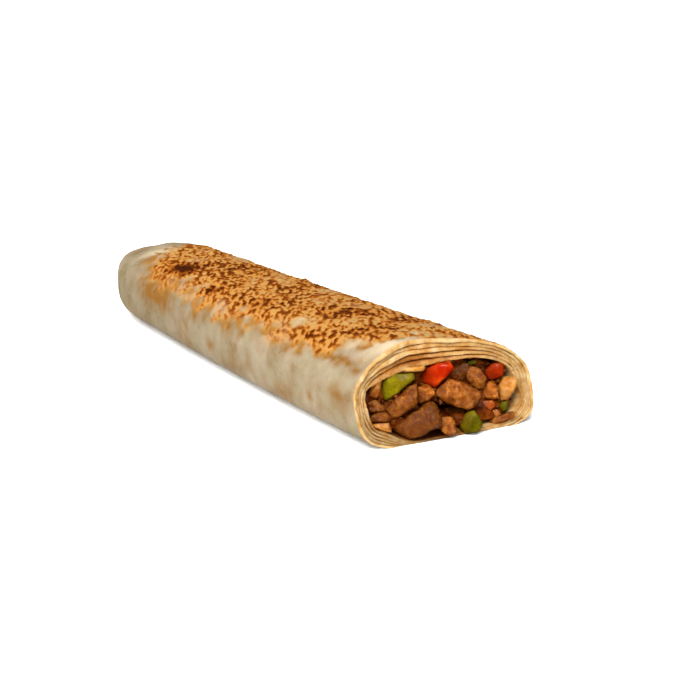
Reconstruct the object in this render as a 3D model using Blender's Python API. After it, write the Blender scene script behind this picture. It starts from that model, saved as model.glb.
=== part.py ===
"""Lavash wrap cut open at one end: thin flat bread rolled round meat, tomato and green pepper.

The roll lies along Y. Its cut end faces -Y, its tucked end faces +Y and its flat underside
rests on z = 0. The origin is under the middle of the roll.
"""

import math

import bmesh
import bpy
from mathutils import Vector, noise

MM = 0.001

# Outside of the roll
ROLL_LENGTH = 238.5 * MM      # bottom edge of the cut to the tip of the tucked end
CUT_Y = -116.7 * MM           # where the bottom edge of the cut crosses the middle
CUT_WIDTH = 70.0 * MM
MIDDLE_WIDTH = 62.0 * MM
FAR_WIDTH = 52.8 * MM
CUT_HEIGHT = 32.1 * MM
MIDDLE_HEIGHT = 31.5 * MM
FAR_HEIGHT = 32.1 * MM
SIDEWAYS_BOW = -2.0 * MM      # the middle of the roll bows to the left
FLAT_DEPTH = 0.9 * MM         # pressed flat underneath
REST_PLACES = (0.0, 0.489, 0.915)     # parts of the length where the underside touches the surface
UNDER_LIFT = 0.2 * MM         # between them it stands this much higher
END_ROUND = 43.0 * MM         # length over which the far end narrows
END_DROP = 22.0 * MM          # length over which the far end gets lower
END_POWER = 2.4
TOP_POWER = (2.12, 3.2)       # roundness of the upper half at the cut and at the far end
UNDER_POWER = (4.4, 2.8)      # roundness of the lower half
SHOULDER_RISE = 2.2 * MM      # the bread stands higher on the upper left near the cut
SHOULDER_LENGTH = 60.0 * MM
CUT_TURN = math.radians(-5.1)     # the cut turned about the upright
CUT_LEAN = math.radians(17.6)     # the top of the cut lies further back

# Rolled layers of bread seen at the cut
RIM_THICKNESS = [t * MM for t in (6.4, 6.0, 7.4, 6.4, 4.9, 4.6, 3.0, 3.6)]   # every 45 degrees from +X
LIP_THICKNESS = 1.6 * MM      # pressed thin under the filling at the cut
LIP_LENGTH = 10.0 * MM
LAYERS = 5
GAP_WIDTH = 0.3 * MM
GAP_DEPTH = 8.0 * MM
GAP_START, GAP_END = math.radians(-12), math.radians(206)
SEAM_ANGLE = math.radians(-46)    # outer edge of the sheet, low on the right
SEAM_DEPTH = 0.9 * MM

# Unevenness of the skin
WRINKLE_HEIGHT = 0.35 * MM
BLISTERS = 34
BLISTER_HEIGHT = 0.55 * MM
FOLD_DEPTH = 1.6 * MM         # crease across the tucked end

# Filling
FILL_GAP = 0.45 * MM          # between filling and bread
PIECE_GAP = 0.35 * MM         # between neighbouring pieces
FACE_BEND = 1.3               # how much the flat faces of a lumpy piece are bent
BEND_SHIFTS = (13.1, 37.7, 71.3)  # set the bends along X, Y and Z apart
PIECE_TURN = math.radians(37.8)   # the pieces face this much to the left of -Y
PIECE_TILT = math.radians(17.6)   # and this much upwards
FACET_TILT = math.radians(20)     # slant of the three facets of a piece's front
CORE_FRONT = 10.6 * MM        # the mass behind the pieces starts this far inside
CORE_LUMPS = 1.6 * MM         # unevenness of its front
CAVITY_END = 0.905            # where the hollow ends, as a part of the roll's length

BREAD = ((0.86, 0.70, 0.47), 0.75)
MEAT = ((0.42, 0.20, 0.07), 0.45)
TOMATO = ((0.80, 0.09, 0.02), 0.3)
PEPPER = ((0.42, 0.50, 0.08), 0.3)
ONION = ((0.78, 0.58, 0.33), 0.35)
FLAP = ((0.78, 0.47, 0.18), 0.5)      # bread soaked with sauce


# Pieces at the cut. Each has its material, its middle (right, up the cut, out of the cut), its half
# depth, the faces around its outline and its edge sharpness and lumpiness; sizes in millimetres.
PIECES = {
    "green_pepper_left": (PEPPER, (-17.1, 20.5, -3.6), 4.4,
                          [(17, 6.8), (93, 4.2), (118, 3.5), (182, 4.9), (276, 5.1), (310, 2.9)], 6, 0.05),
    "tomato_centre": (TOMATO, (-0.8, 21.8, -3.6), 4.2,
                      [(37, 6.1), (116, 3.2), (158, 4.5), (239, 5.3), (261, 5.5), (318, 3.2)], 6, 0.04),
    "meat_strip_left": (MEAT, (-16.1, 13.9, -2.2), 4.8,
                        [(31, 7.2), (134, 2.6), (230, 6.4), (307, 3.4), (353, 4.9)], 5, 0.12),
    "meat_nub_left": (MEAT, (-7.1, 15.7, -2.6), 4.4,
                      [(44, 3.0), (110, 3.1), (185, 2.7), (278, 3.1), (320, 2.8)], 5, 0.12),
    "meat_front_low": (MEAT, (-12.1, 6.7, -0.2), 5.6,
                       [(16, 7.3), (69, 8.6), (127, 3.8), (203, 10.6), (246, 7.2), (299, 4.3)], 5, 0.10),
    "meat_small_low": (MEAT, (-2.0, 3.8, 0.8), 4.0,
                       [(18, 2.5), (95, 3.3), (179, 2.6), (240, 2.9), (310, 3.5)], 4, 0.08),
    "onion_left": (ONION, (-24.3, 20.1, -4.6), 3.6,
                   [(120, 2.8), (167, 2.0), (234, 3.3), (310, 3.0), (358, 1.8)], 5, 0.10),
    "meat_edge_left": (MEAT, (-25.3, 14.1, -4.8), 3.8,
                       [(36, 2.0), (98, 2.3), (192, 2.5), (270, 1.9)], 5, 0.14),
    "meat_low_left": (MEAT, (-24.2, 10.2, -4.4), 4.0,
                      [(67, 2.3), (129, 2.3), (269, 1.6), (347, 3.9)], 5, 0.14),
    "onion_low_left": (ONION, (-24.8, 6.7, -3.6), 4.0,
                       [(1, 4.8), (18, 2.9), (100, 2.0), (221, 2.7), (265, 1.9)], 5, 0.10),
    "meat_centre": (MEAT, (5.2, 13.6, -1.6), 5.4,
                    [(68, 4.2), (126, 6.4), (197, 7.9), (250, 4.3), (315, 6.7), (358, 9.3)], 6, 0.10),
    "meat_upper": (MEAT, (14.1, 18.7, -3.8), 4.6,
                   [(4, 3.9), (40, 3.5), (72, 3.5), (156, 4.2), (231, 3.0), (292, 4.6)], 6, 0.08),
    "tomato_right": (TOMATO, (22.7, 19.3, -4.0), 4.0,
                     [(88, 3.1), (139, 2.8), (214, 3.5), (295, 2.6), (356, 3.2)], 6, 0.04),
    "chicken_right": (ONION, (26.0, 13.0, -2.8), 4.2,
                      [(5, 3.9), (95, 4.1), (160, 3.1), (194, 3.7), (227, 4.9), (329, 2.7)], 5, 0.10),
    "meat_right": (MEAT, (19.8, 12.8, -3.6), 4.2,
                   [(18, 2.5), (86, 3.7), (149, 2.7), (224, 3.1), (285, 3.0)], 5, 0.10),
    "tomato_low_right": (TOMATO, (17.1, 8.0, -3.6), 3.8,
                         [(23, 3.0), (94, 2.1), (152, 2.7), (227, 2.7), (301, 2.0)], 6, 0.04),
    "chicken_low_right": (ONION, (19.2, 4.6, -3.2), 3.4,
                          [(33, 2.5), (104, 1.7), (227, 2.2), (282, 1.6)], 4, 0.10),
    "meat_low_right": (MEAT, (21.0, 3.2, -2.0), 3.4,
                       [(20, 5.0), (106, 1.4), (200, 4.8), (288, 1.6)], 5, 0.10),
    "green_sprig_right": (PEPPER, (23.3, 7.0, -2.0), 2.6,
                          [(107, 1.7), (199, 1.5), (282, 2.1), (359, 1.4)], 3, 0.12),
    "green_pepper_low": (PEPPER, (7.5, 3.5, 0.6), 4.2,
                         [(34, 3.4), (105, 4.2), (156, 3.2), (233, 4.1), (277, 3.5), (331, 3.8)], 6, 0.05),
    "meat_behind_low": (MEAT, (5.2, 6.6, -5.2), 2.9,
                        [(10, 4.0), (100, 3.6), (190, 6.0), (270, 3.6)], 5, 0.12),
    "meat_behind_top": (MEAT, (9.4, 21.0, -5.4), 2.6,
                        [(20, 4.2), (110, 3.0), (200, 4.2), (290, 3.0)], 5, 0.12),
    "meat_behind_right": (MEAT, (14.6, 6.6, -5.0), 2.8,
                          [(15, 4.0), (105, 3.4), (195, 4.0), (285, 3.4)], 5, 0.12),
    "green_strip_top": (PEPPER, (13.6, 23.6, -3.4), 2.4,
                        [(5, 1.6), (95, 0.8), (160, 1.3), (280, 0.7)], 5, 0.04),
    "bread_flap_left": (FLAP, (-12.4, 25.1, -3.8), 3.4,
                        [(8, 6.4), (98, 1.5), (188, 6.4), (278, 1.5)], 4, 0.08),
}


def clear_scene():
    for thing in list(bpy.data.objects):
        bpy.data.objects.remove(thing, do_unlink=True)


def material(name, look):
    colour, roughness = look
    made = bpy.data.materials.new(name)
    made.use_nodes = True
    shader = made.node_tree.nodes["Principled BSDF"]
    shader.inputs["Base Color"].default_value = (*colour, 1.0)
    shader.inputs["Roughness"].default_value = roughness
    return made


def add_object(name, bm, look):
    """Close off a mesh and put it in the scene."""
    bmesh.ops.recalc_face_normals(bm, faces=bm.faces[:])
    if bm.calc_volume(signed=True) < 0:
        bmesh.ops.reverse_faces(bm, faces=bm.faces[:])
    mesh = bpy.data.meshes.new(name)
    bm.to_mesh(mesh)
    bm.free()
    mesh.materials.append(material(name, look))
    made = bpy.data.objects.new(name, mesh)
    bpy.context.collection.objects.link(made)
    return made


def along(s, near, middle, far):
    """Smooth change from near (s = 0) through middle (s = 0.5) to far (s = 1)."""
    return near * (1 - s) * (1 - 2 * s) + 4 * middle * s * (1 - s) + far * s * (2 * s - 1)


def smooth(value, low, high):
    """0 below low, 1 above high, eased between."""
    t = min(max((value - low) / (high - low), 0.0), 1.0)
    return t * t * (3 - 2 * t)


def section(s):
    """Half width, half height, middle height and the two powers of the roll's outline."""
    width = along(s, CUT_WIDTH, MIDDLE_WIDTH, FAR_WIDTH)
    height = along(s, CUT_HEIGHT, MIDDLE_HEIGHT, FAR_HEIGHT)
    middle = height / 2
    left = (1 - s) * ROLL_LENGTH
    if left < END_ROUND:
        k = 1 - max(left, 0.0) / END_ROUND
        width -= 0.98 * width * (1 - (1 - k ** END_POWER) ** (1 / END_POWER))
    if left < END_DROP:
        k = 1 - max(left, 0.0) / END_DROP
        height -= 0.98 * height * (1 - math.sqrt(1 - k * k))
    t = min(max(s, 0.0), 1.0)
    top = TOP_POWER[0] * (1 - t) + TOP_POWER[1] * t
    under = UNDER_POWER[0] * (1 - t) + UNDER_POWER[1] * t
    return width / 2, height / 2, middle, top, under


def rim_thickness(angle, s):
    """Thickness of the rolled bread in a direction, thinner at the lower lip of the cut."""
    steps = len(RIM_THICKNESS)
    place = (angle % math.tau) / math.tau * steps
    low = int(place) % steps
    ease = (1 - math.cos(math.pi * (place - int(place)))) / 2
    thick = RIM_THICKNESS[low] * (1 - ease) + RIM_THICKNESS[(low + 1) % steps] * ease
    turn = math.degrees(angle) % 360
    down = smooth(turn, 226, 246) * (1 - smooth(turn, 302, 320))
    lip = 1 - smooth(s * ROLL_LENGTH, 0.0, LIP_LENGTH)
    return thick + (LIP_THICKNESS - thick) * down * lip


def outline(angle, s, inset=0.0, closing=1.0):
    """Point of the roll's cross-section in a direction, and the outward normal there."""
    wide, high, middle, top, under = section(s)
    wide, high = (wide - inset) * closing, (high - inset) * closing
    c, t = math.cos(angle), math.sin(angle)
    power = top if t >= 0 else under
    reach = (abs(c) ** power + abs(t) ** power) ** (-1 / power)
    normal = Vector((math.copysign(abs(c) ** (power - 1), c) / wide, 0.0,
                     math.copysign(abs(t) ** (power - 1), t) / high)).normalized()
    rise = SHOULDER_RISE * math.exp(-((angle - math.radians(114)) / math.radians(25)) ** 2)
    rise *= 1 - smooth(s * ROLL_LENGTH, 0.0, SHOULDER_LENGTH)
    rise *= max(1 - inset / rim_thickness(angle, s), 0.0)
    return wide * reach * c, middle + high * reach * t + rise, normal


def place(x, z, s):
    """Put a cross-section point at its station, following the leaning cut near the front."""
    z -= FLAT_DEPTH
    x += SIDEWAYS_BOW * 4 * s * (1 - s)
    front = CUT_Y + x * math.tan(CUT_TURN) + z * math.tan(CUT_LEAN)
    return Vector((x, front * (1 - s) + (CUT_Y + ROLL_LENGTH) * s, z))


def blister_list():
    """Even scatter of blisters over the toasted top: place across, station and size."""
    spots = []
    for k in range(BLISTERS):
        across = (k * 0.618034) % 1.0
        spots.append((math.radians(38 + 104 * across), (k + 0.7) / (BLISTERS + 2.0),
                      (4.0 + 3.0 * ((k * 0.754878) % 1.0)) * MM))
    return spots


SPOTS = blister_list()


def skin_relief(angle, s, x, z):
    """How far the skin stands out: wrinkles round the roll and blisters on top."""
    y = s * ROLL_LENGTH
    wave = noise.noise(Vector((x * 22, y * 120 + x * 20, z * 30)))
    wave += 0.5 * noise.noise(Vector((x * 50 + 9, y * 260, z * 60)))
    lift = WRINKLE_HEIGHT * wave * smooth(z, 1 * MM, 6 * MM)
    for spot_angle, spot_s, size in SPOTS:
        spot_x = outline(spot_angle, spot_s)[0]
        away = math.hypot(x - spot_x, (s - spot_s) * ROLL_LENGTH * 0.8) / size
        if away < 1 and math.sin(angle) > 0:
            lift += BLISTER_HEIGHT * (1 - away * away) ** 2
    return lift * smooth(1 - s, 0.0, 0.03) * smooth(s, -0.001, 0.012)


def underside(s):
    """Lowest height of the skin, measured like the cross-section's heights."""
    away = min(abs(s - rest) for rest in REST_PLACES)
    return FLAT_DEPTH + UNDER_LIFT * smooth(away, 0.045, 0.070)


def skin_point(angle, s, closing):
    x, z, normal = outline(angle, s)
    lift = skin_relief(angle, s, x, z)
    wide, high, middle, top, under = section(s)
    x, z = (x + normal.x * lift) * closing, middle + (z + normal.z * lift - middle) * closing
    z = max(z, underside(s))
    point = place(x, z, s)
    crease = math.exp(-((z - middle) / (2.2 * MM)) ** 2)
    point.y -= FOLD_DEPTH * crease * smooth(s, 0.97, 1.0)
    return point


def hollow_point(angle, s, closing, gap=0.0):
    x, z, normal = outline(angle, s, rim_thickness(angle, s) + gap, closing)
    return place(x, z, s)


def closed_tube(around, rings, point_at):
    """Sphere whose rings are moved to the given stations: (station, closing) for each ring."""
    bm = bmesh.new()
    count = len(rings) + 1
    bmesh.ops.create_uvsphere(bm, u_segments=around, v_segments=count, radius=1.0)
    for vert in bm.verts:
        ring = round(math.acos(min(max(vert.co.z, -1.0), 1.0)) * count / math.pi)
        angle = math.atan2(vert.co.y, vert.co.x)
        if 0 < ring < count:
            s, closing = rings[ring - 1]
        else:
            s, closing = rings[0 if ring == 0 else -1][0], 0.0001
        vert.co = point_at(angle, s, closing)
    return bm


def flatten_start(bm):
    """Make the fan of triangles that closes the near end one flat face."""
    fan_middle = min((v for v in bm.verts if len(v.link_edges) > 8), key=lambda v: v.co.y)
    bmesh.ops.dissolve_verts(bm, verts=[fan_middle])
    return bm


def cut_away(target, cutter):
    """Take the cutter's shape out of the target."""
    cutter.hide_render = True
    cutter.display_type = "WIRE"
    step = target.modifiers.new(cutter.name, "BOOLEAN")
    step.operation = "DIFFERENCE"
    step.solver = "EXACT"
    step.object = cutter


def make_lavash():
    body_rings, end_rings = 35, 10
    start = 1 - END_ROUND / ROLL_LENGTH
    rings = [(start * k / body_rings, 1.0) for k in range(body_rings)]
    for k in range(end_rings):
        rings.append((1 - (1 - start) * (1 - math.sin(math.pi / 2 * k / end_rings)), 1.0))
    bread = add_object("lavash", flatten_start(closed_tube(60, rings, skin_point)), BREAD)

    hollow = [(-0.02, 1.0), (0.003, 1.0), (0.013, 1.0), (0.025, 1.0), (0.042, 1.0), (0.08, 1.0),
              (0.25, 1.0), (0.5, 1.0), (0.7, 1.0), (0.8, 1.0)]
    for k in range(1, 5):
        turn = math.pi / 2 * k / 5
        hollow.append((0.8 + (CAVITY_END - 0.8) * math.sin(turn), math.cos(turn)))
    cut_away(bread, add_object("hollow_cutter", flatten_start(closed_tube(48, hollow, hollow_point)), BREAD))

    for layer in range(1, LAYERS):
        cut_away(bread, layer_cutter(layer))
    cut_away(bread, seam_cutter())
    return bread


def strip(name, columns, rows, thickness, point_at):
    """Thin sheet bent to shape, used to cut a narrow gap."""
    bm = bmesh.new()
    bmesh.ops.create_grid(bm, x_segments=columns, y_segments=rows, size=1.0)
    for vert in bm.verts:
        vert.co = point_at((vert.co.x + 1) / 2, (vert.co.y + 1) / 2)
    made = add_object(name, bm, BREAD)
    thick = made.modifiers.new("thickness", "SOLIDIFY")
    thick.thickness = thickness
    thick.offset = 0.0
    return made


def layer_cutter(layer):
    """Gap between two turns of bread, drifting inwards as the roll winds."""
    def point_at(u, v):
        angle = GAP_START + (GAP_END - GAP_START) * u
        s = (-0.25 + 1.25 * v) * GAP_DEPTH / ROLL_LENGTH
        share = (layer - 0.35 + 0.7 * u) / LAYERS
        x, z, normal = outline(angle, s, rim_thickness(angle, s) * share)
        return place(x, z, s)
    return strip("layer_cutter_%d" % layer, 38, 1, GAP_WIDTH, point_at)


def seam_cutter():
    """Slit under the outer edge of the sheet, along the whole roll."""
    def point_at(u, v):
        inset = (-0.8 + (0.8 + SEAM_DEPTH / MM) * v) * MM
        x, z, normal = outline(SEAM_ANGLE - 0.12 * v, -0.01 + 0.9 * u, inset)
        return place(x, z, -0.01 + 0.9 * u)
    return strip("seam_cutter", 24, 1, GAP_WIDTH, point_at)


def make_core():
    """The mass of filling that runs through the roll behind the pieces at the cut."""
    front = CORE_FRONT / ROLL_LENGTH
    rings = [(front, 0.3), (front, 0.6), (front, 0.84), (front + 0.008, 0.97), (front + 0.025, 1.0),
             (0.16, 1.0), (0.25, 1.0), (0.36, 1.0), (0.48, 1.0), (0.6, 1.0), (0.7, 1.0), (0.79, 1.0)]
    end = CAVITY_END - 0.008
    for k in range(1, 5):
        turn = math.pi / 2 * k / 5
        rings.append((0.79 + (end - 0.79) * math.sin(turn), 0.985 * math.cos(turn)))

    def point_at(angle, s, closing):
        lump = noise.noise(Vector((math.cos(angle) * closing * 3, s * 40, math.sin(angle) * closing * 2)))
        point = hollow_point(angle, s, closing * (0.97 - 0.05 * abs(lump)), FILL_GAP)
        point.y += CORE_LUMPS * lump * (1 - smooth(s, front, front + 0.05))
        return point
    return add_object("filling_core", closed_tube(36, rings, point_at), MEAT)


# Directions of the cut: to the right, up the leaning face, and straight out of it
OUT = Vector((math.tan(CUT_TURN), -1.0, math.tan(CUT_LEAN))).normalized()
RIGHT = Vector((1.0, math.tan(CUT_TURN), 0.0)).normalized()
UP = RIGHT.cross(-OUT).normalized()

# Directions of the pieces: ahead, to their right and up their front
FRONT = Vector((-math.sin(PIECE_TURN) * math.cos(PIECE_TILT), -math.cos(PIECE_TURN) * math.cos(PIECE_TILT),
                math.sin(PIECE_TILT)))
SIDE = Vector((math.cos(PIECE_TURN), -math.sin(PIECE_TURN), 0.0))
LIFT = SIDE.cross(-FRONT).normalized()


def cut_to_world(right, up, out):
    return Vector((0.0, CUT_Y, 0.0)) + RIGHT * right + UP * up + OUT * out


def room_share(point):
    """Below 1 inside the hollow (kept a gap off the bread), above 1 outside it."""
    front = CUT_Y + point.x * math.tan(CUT_TURN) + point.z * math.tan(CUT_LEAN)
    s = (point.y - front) / (CUT_Y + ROLL_LENGTH - front)
    wide, high, middle, top, under = section(s)
    across = point.x - SIDEWAYS_BOW * 4 * s * (1 - s)
    rise = point.z + FLAT_DEPTH - middle
    angle = math.atan2(rise / high, across / wide)
    inset = rim_thickness(angle, s) + FILL_GAP
    power = top if rise >= 0 else under
    return (abs(across / (wide - inset)) ** power + abs(rise / (high - inset)) ** power) ** (1 / power)


def piece_middle(name):
    return cut_to_world(*[m * MM for m in PIECES[name][1]])


def across_piece(degrees):
    """Direction across the pieces' front, turned from their right."""
    turn = math.radians(degrees)
    return SIDE * math.cos(turn) + LIFT * math.sin(turn)


def piece_faces(name):
    """Outward direction and distance of each face: the back, three front facets and the outline."""
    look, middle, deep, faces, sharp, lumpy = PIECES[name]
    found = [(-FRONT, deep * MM)]
    for turn in (60, 180, 300):
        slant = across_piece(faces[0][0] + turn) * math.sin(FACET_TILT)
        found.append((FRONT * math.cos(FACET_TILT) + slant, deep * MM * math.cos(FACET_TILT)))
    for degrees, distance in faces:
        found.append((across_piece(degrees), distance * MM))
    return found


def bend_at(point):
    """How the direction of a face is bent at a point: the same each time."""
    return Vector([noise.noise(point + Vector((shift, -shift, 2 * shift))) for shift in BEND_SHIFTS])


def free_reach(name, direction):
    """Distance from the piece's middle to its surface: flat faces, rounded edges and soft lumps."""
    look, middle, deep, faces, sharp, lumpy = PIECES[name]
    shift = Vector((len(name) * 3.7, deep, sharp))
    bent = direction + bend_at(direction * 1.7 + shift) * (FACE_BEND * lumpy)
    bent.normalize()
    total = sum(max(bent.dot(way) / distance, 0.0) ** sharp for way, distance in piece_faces(name))
    return total ** (-1 / sharp) * (1 + lumpy * noise.noise(direction * 1.6 + shift))


def sphere_directions(subdivisions):
    bm = bmesh.new()
    bmesh.ops.create_icosphere(bm, subdivisions=subdivisions, radius=1.0)
    found = [vert.co.normalized() for vert in bm.verts]
    bm.free()
    return found


def contact_planes():
    """Flat contacts between pieces that would meet: for each piece, (direction, distance) pairs."""
    ways = sphere_directions(3)
    clouds = {}
    for name in PIECES:
        clouds[name] = [way * free_reach(name, way) for way in ways]
    limits = {name: [] for name in PIECES}
    names = list(PIECES)
    for i, first in enumerate(names):
        for second in names[i + 1:]:
            step = piece_middle(second) - piece_middle(first)
            if step.length > max(p.length for p in clouds[first]) + max(p.length for p in clouds[second]):
                continue
            best = None
            for way in ways:
                if way.dot(step) <= 0:
                    continue
                ahead = max(p.dot(way) for p in clouds[first])
                behind = max(-p.dot(way) for p in clouds[second])
                overlap = ahead + behind - way.dot(step)
                if best is None or overlap < best[0]:
                    best = (overlap, way, ahead, behind)
            overlap, way, ahead, behind = best
            if overlap > -PIECE_GAP:
                share = (overlap + PIECE_GAP) / (ahead + behind)
                limits[first].append((way, ahead * (1 - share)))
                limits[second].append((-way, behind * (1 - share)))
    return limits


def room_reach(centre, direction, far):
    """How far a piece may reach before it comes too near the bread."""
    if room_share(centre + direction * far) < 1:
        return far
    near = 0.0
    for step in range(18):
        half_way = (near + far) / 2
        if room_share(centre + direction * half_way) < 1:
            near = half_way
        else:
            far = half_way
    return near


def make_piece(name, limits):
    look, middle, deep, faces, sharp, lumpy = PIECES[name]
    centre = piece_middle(name)
    bm = bmesh.new()
    bmesh.ops.create_cube(bm, size=2.0)
    cuts = 3 if len(faces) > 4 else 2
    bmesh.ops.subdivide_edges(bm, edges=bm.edges[:], cuts=cuts, use_grid_fill=True)
    ways = (across_piece(faces[0][0]), across_piece(faces[0][0] + 90), FRONT)
    for vert in bm.verts:
        # equal angles on each face of the cube
        even = [math.tan(c * math.pi / 4) for c in vert.co]
        direction = sum((way * e for way, e in zip(ways, even)), Vector()).normalized()
        reach = free_reach(name, direction)
        for way, distance in limits:
            facing = direction.dot(way)
            if facing > 0:
                reach = min(reach, distance / facing)
        vert.co = centre + direction * room_reach(centre, direction, reach)
    return add_object(name, bm, look)


def build():
    clear_scene()
    make_lavash()
    make_core()
    limits = contact_planes()
    for name in PIECES:
        make_piece(name, limits[name])


build()
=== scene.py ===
import math

import bmesh
import bpy
import numpy as np
from mathutils import Euler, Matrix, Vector, noise


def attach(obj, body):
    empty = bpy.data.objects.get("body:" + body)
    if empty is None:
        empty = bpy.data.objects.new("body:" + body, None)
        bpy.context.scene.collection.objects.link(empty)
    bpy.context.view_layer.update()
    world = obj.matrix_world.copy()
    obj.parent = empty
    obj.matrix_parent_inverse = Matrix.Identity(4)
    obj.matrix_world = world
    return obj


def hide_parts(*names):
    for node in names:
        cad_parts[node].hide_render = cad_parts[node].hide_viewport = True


# Lavash wrap cut open at one end, with its final shapes and finishes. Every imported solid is
# replaced by a finer piece of the same form: the toasted skin, the rolled layers at the cut, the
# filling and its pieces. Sizes are in metres; the roll lies along Y with its cut end towards -Y.

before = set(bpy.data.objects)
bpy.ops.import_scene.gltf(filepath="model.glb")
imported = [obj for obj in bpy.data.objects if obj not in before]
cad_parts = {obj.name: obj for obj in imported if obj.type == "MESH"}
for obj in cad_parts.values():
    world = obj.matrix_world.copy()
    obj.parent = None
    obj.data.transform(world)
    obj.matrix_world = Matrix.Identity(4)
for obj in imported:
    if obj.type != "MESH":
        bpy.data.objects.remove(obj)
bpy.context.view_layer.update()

MM = 0.001

# Outside of the roll, as in the solids
ROLL_LENGTH = 238.5 * MM
CUT_Y = -116.7 * MM
CUT_WIDTH, MIDDLE_WIDTH, FAR_WIDTH = 70.0 * MM, 62.0 * MM, 52.8 * MM
CUT_HEIGHT, MIDDLE_HEIGHT, FAR_HEIGHT = 32.1 * MM, 31.5 * MM, 32.1 * MM
SIDEWAYS_BOW = -2.0 * MM
FLAT_DEPTH = 0.9 * MM
REST_PLACES, UNDER_LIFT = (0.0, 0.489, 0.915), 0.2 * MM
END_ROUND, END_DROP, END_POWER = 43.0 * MM, 22.0 * MM, 2.4
TOP_POWER = (2.12, 3.2)
UNDER_POWER = (4.4, 2.8)
SHOULDER_RISE = 2.2 * MM
SHOULDER_LENGTH = 60.0 * MM
SHOULDER_ANGLE, SHOULDER_SPREAD = math.radians(114), math.radians(25)
CUT_TURN = math.radians(-5.1)
CUT_LEAN = math.radians(17.6)
RIM_THICKNESS = [t * MM for t in (6.4, 6.0, 7.4, 6.4, 4.9, 4.6, 3.0, 3.6)]
LIP_THICKNESS = 1.6 * MM
LIP_LENGTH = 10.0 * MM
SEAM_ANGLE = math.radians(-46)
SEAM_DEPTH = 0.9 * MM
WRINKLE_HEIGHT = 0.15 * MM
BLISTERS = 34
BLISTER_HEIGHT = 0.55 * MM
FOLD_DEPTH = 1.6 * MM
FILL_GAP = 0.15 * MM          # the solids keep larger gaps, which sauce fills here
PIECE_GAP = 0.05 * MM
FACE_BEND = 1.3
BEND_SHIFTS = (13.1, 37.7, 71.3)
PIECE_TURN, PIECE_TILT = math.radians(37.8), math.radians(17.6)
FACET_TILT = math.radians(20)
CORE_FRONT = 4.6 * MM         # sauce between the pieces stands further out than the solid
CORE_LUMPS = 1.0 * MM
CAVITY_BEND, CAVITY_END = 0.8, 0.905         # where the hollow starts to close, and its end
DARK_HOLE, DARK_HOLE_SIZE = (2.5, 9.0), (4.0, 3.0)     # gap low in the filling, in millimetres
DARK_HOLE_DEPTH = 5 * MM

# Layers of bread at the cut
TURNS = 5                     # turns of the sheet between the skin's outside and the filling
OPENING = 0.4                # extra gap after the third turn, in turns, widest at the upper left
LAYER_DEPTH = 13.5 * MM       # how far the separate layers go in
FLAKE_SIZE = 2.3 * MM         # crusty flakes of the toasted top
FLAKE_HEIGHT = 0.42 * MM
SPECK_HEIGHT = 0.3 * MM      # raised brown specks on it

# Fineness of the meshes
SKIN_COLUMNS = 250
LAYER_STEPS = 230             # points along each turn of the sheet
MASS_COLUMNS = 220
PIECE_CUTS, LARGE_PIECE = (26, 36), 6        # for pieces up to that half width in mm, and larger
CRUMB_CUTS = 3

# Crumbs in the gaps between the pieces
CRUMB_TRIES = 5000
CRUMB_ROOM = ((-31, 1.5, -8.0), (31, 27, -1.5))        # right, up and out of the cut, from and to
CRUMB_SIZE = (0.4 * MM, 0.9 * MM)
CRUMB_SHADE = (0.4, 0.85)
CRUMB_SAUCE = 0.75

# Studio
FLOOR_RADIUS = 60.0
SKY_LIGHT = 0.65
# Lamps: strength, spread in degrees, and where each shines to. Two stand to the front left, one of
# them low; the small glint lamp is seen only as glints on wet food.
LAMPS = {"soft_lamp": (5.0, 35, (0.5, 0.5, -0.95)), "low_lamp": (2.6, 35, (1.0, 0.25, -0.55)),
         "glint_lamp": (28.0, 7, (0.15, 0.55, -0.8))}
CAMERA_PLACE = (-0.25877, -0.44466, 0.14552)
CAMERA_YAW, CAMERA_PITCH = math.radians(33.4697), math.radians(15.464)
CAMERA_SENSOR, CAMERA_LENS = 36.0, 66.857    # in millimetres

# Edge of the toasted top on the left: part of the roll's length, direction in degrees
TOAST_EDGE = [
    (0.0, 112), (0.03, 117), (0.04, 123), (0.09, 126), (0.12, 133), (0.15, 136), (0.3, 136), (0.354, 132),
    (0.39, 135), (0.434, 140), (0.51, 140), (0.556, 133), (0.61, 132), (0.66, 135), (0.706, 134),
    (0.765, 134), (0.785, 127), (0.81, 117), (0.85, 104), (0.875, 92), (0.89, 78), (0.905, 45)]
TOAST_RIGHT = 30              # and on the right
TOAST_END = 0.925             # where it ends near the far end, as a part of the length
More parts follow.
